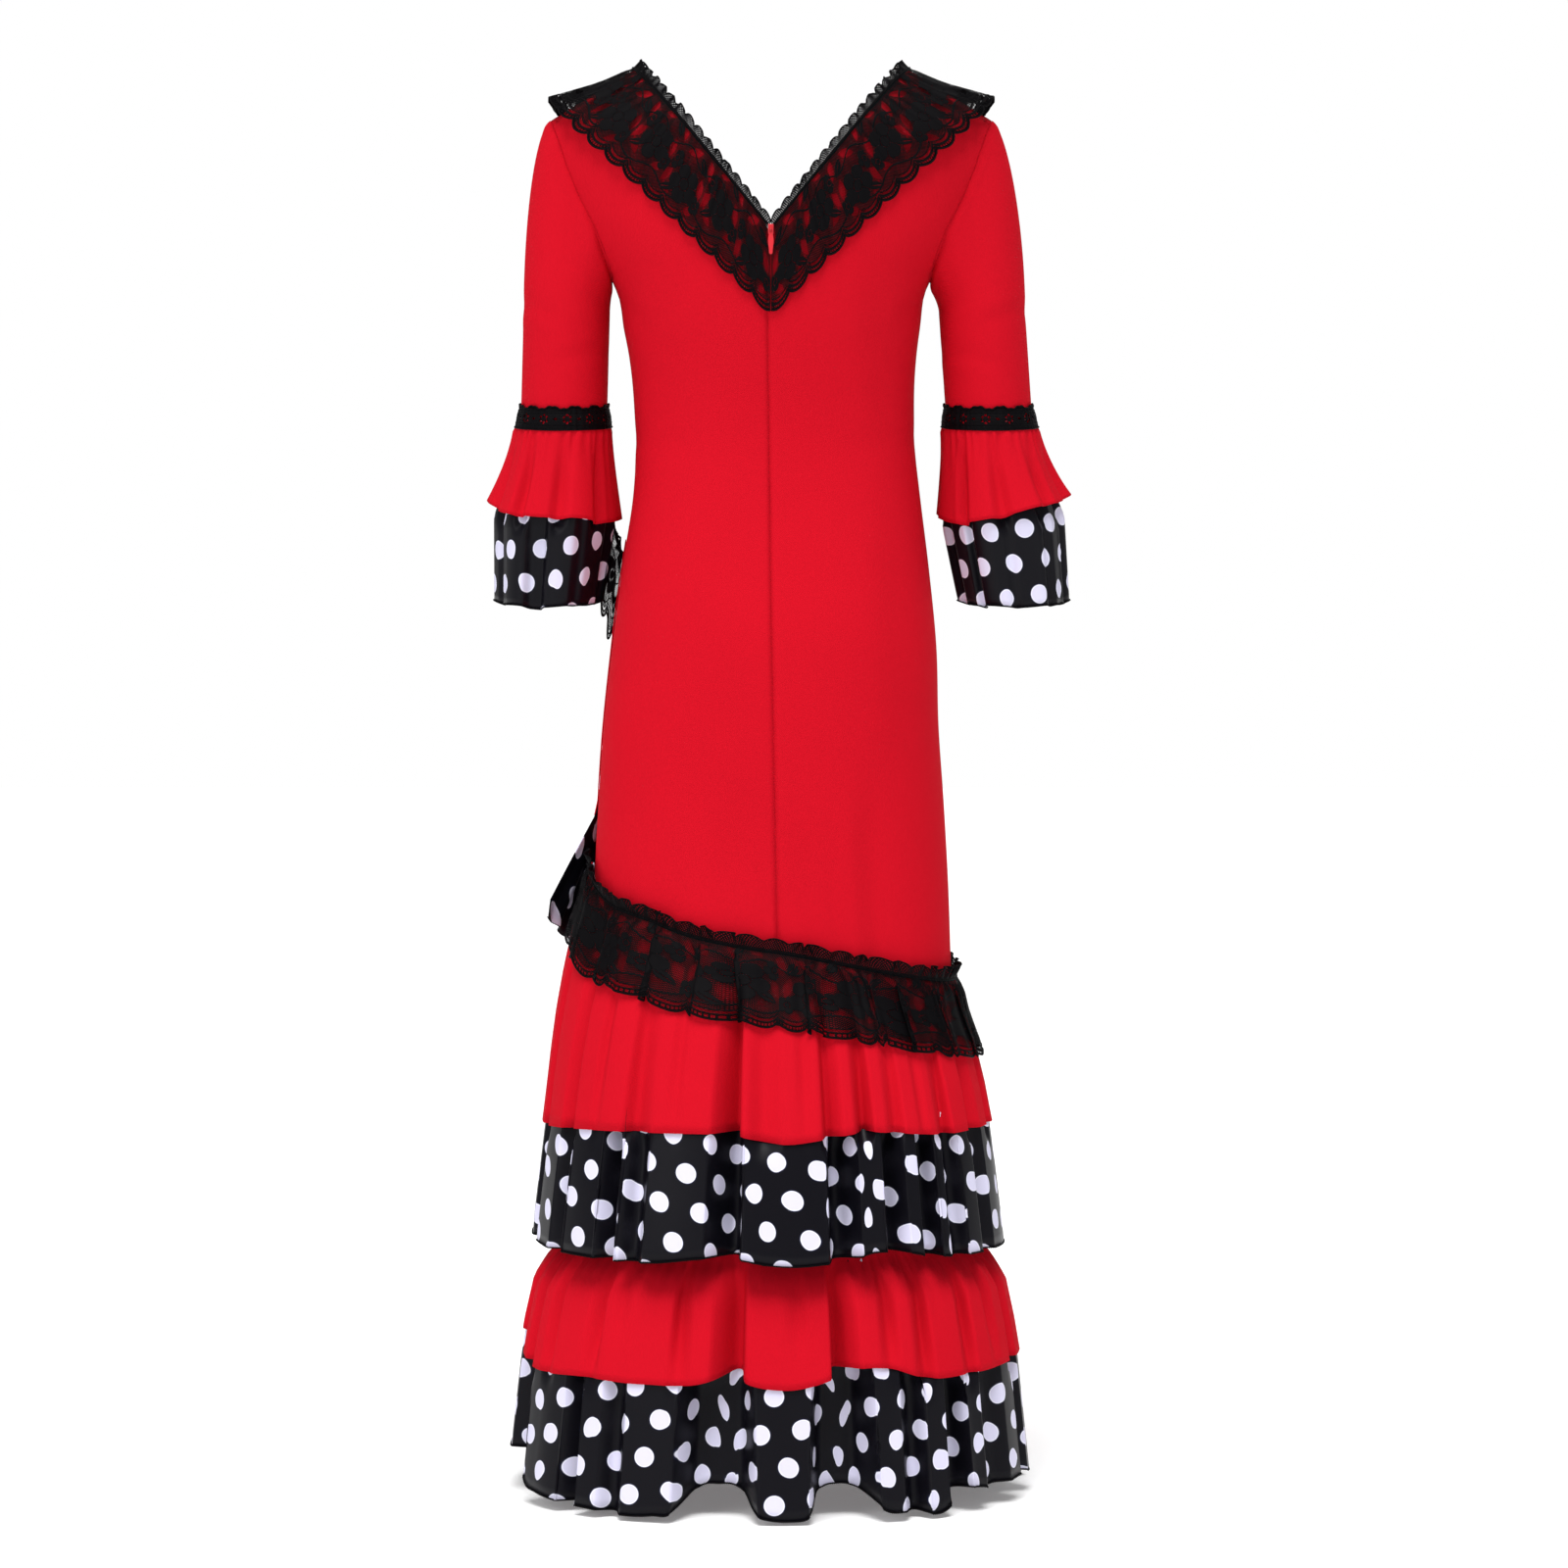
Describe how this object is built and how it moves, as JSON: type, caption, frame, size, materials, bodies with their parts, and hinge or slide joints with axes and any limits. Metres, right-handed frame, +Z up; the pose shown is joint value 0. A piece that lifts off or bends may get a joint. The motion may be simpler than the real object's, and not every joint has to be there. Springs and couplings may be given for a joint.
{
  "type": "flamenco dress",
  "caption": "Long red flamenco dress with a deep V back, black lace, flounced cuffs and tiers of red and spotted flounces, filled out as if worn.",
  "frame": {"origin": "midway between the wearer's shoulders, level with the tops of the shoulder seams near the neck, less 14 mm", "axes": "+Z up along the wearer, +Y towards the wearer's front, +X towards the wearer's right"},
  "size_m": [0.5534, 0.3997, 1.3255],
  "materials": {
    "red_knit": "matte stretch knit",
    "spotted_satin": "soft satin with pale dots",
    "black_lace": "matte corded lace",
    "red_enamel": "semi-gloss"
  },
  "bodies": {
    "dress": {"back_left": "red_knit", "back_right": "red_knit", "front": "red_knit", "sleeve_left": "red_knit", "sleeve_right": "red_knit", "sleeve_band_left": "black_lace", "sleeve_band_right": "black_lace", "cuff_red_left": "red_knit", "cuff_red_right": "red_knit", "cuff_dot_left": "spotted_satin", "cuff_dot_right": "spotted_satin", "collar_left": "black_lace", "collar_right": "black_lace", "tier1_lace": "black_lace", "tier1_red": "red_knit", "tier1_dot": "spotted_satin", "tier2_red": "red_knit", "tier2_dot": "spotted_satin", "hip_lace": "black_lace", "hip_red": "red_knit", "hip_dot": "spotted_satin", "zip_slider": "red_enamel"},
    "zip_pull": {"zip_pull": "red_enamel"}
  },
  "joints": [
    {"name": "zip_pull_swing", "type": "hinge", "parent": "dress", "child": "zip_pull", "pos_m": [0, -0.11654, -0.147], "axis": [-1, 0, 0], "range_deg": [-4, 165]}
  ]
}
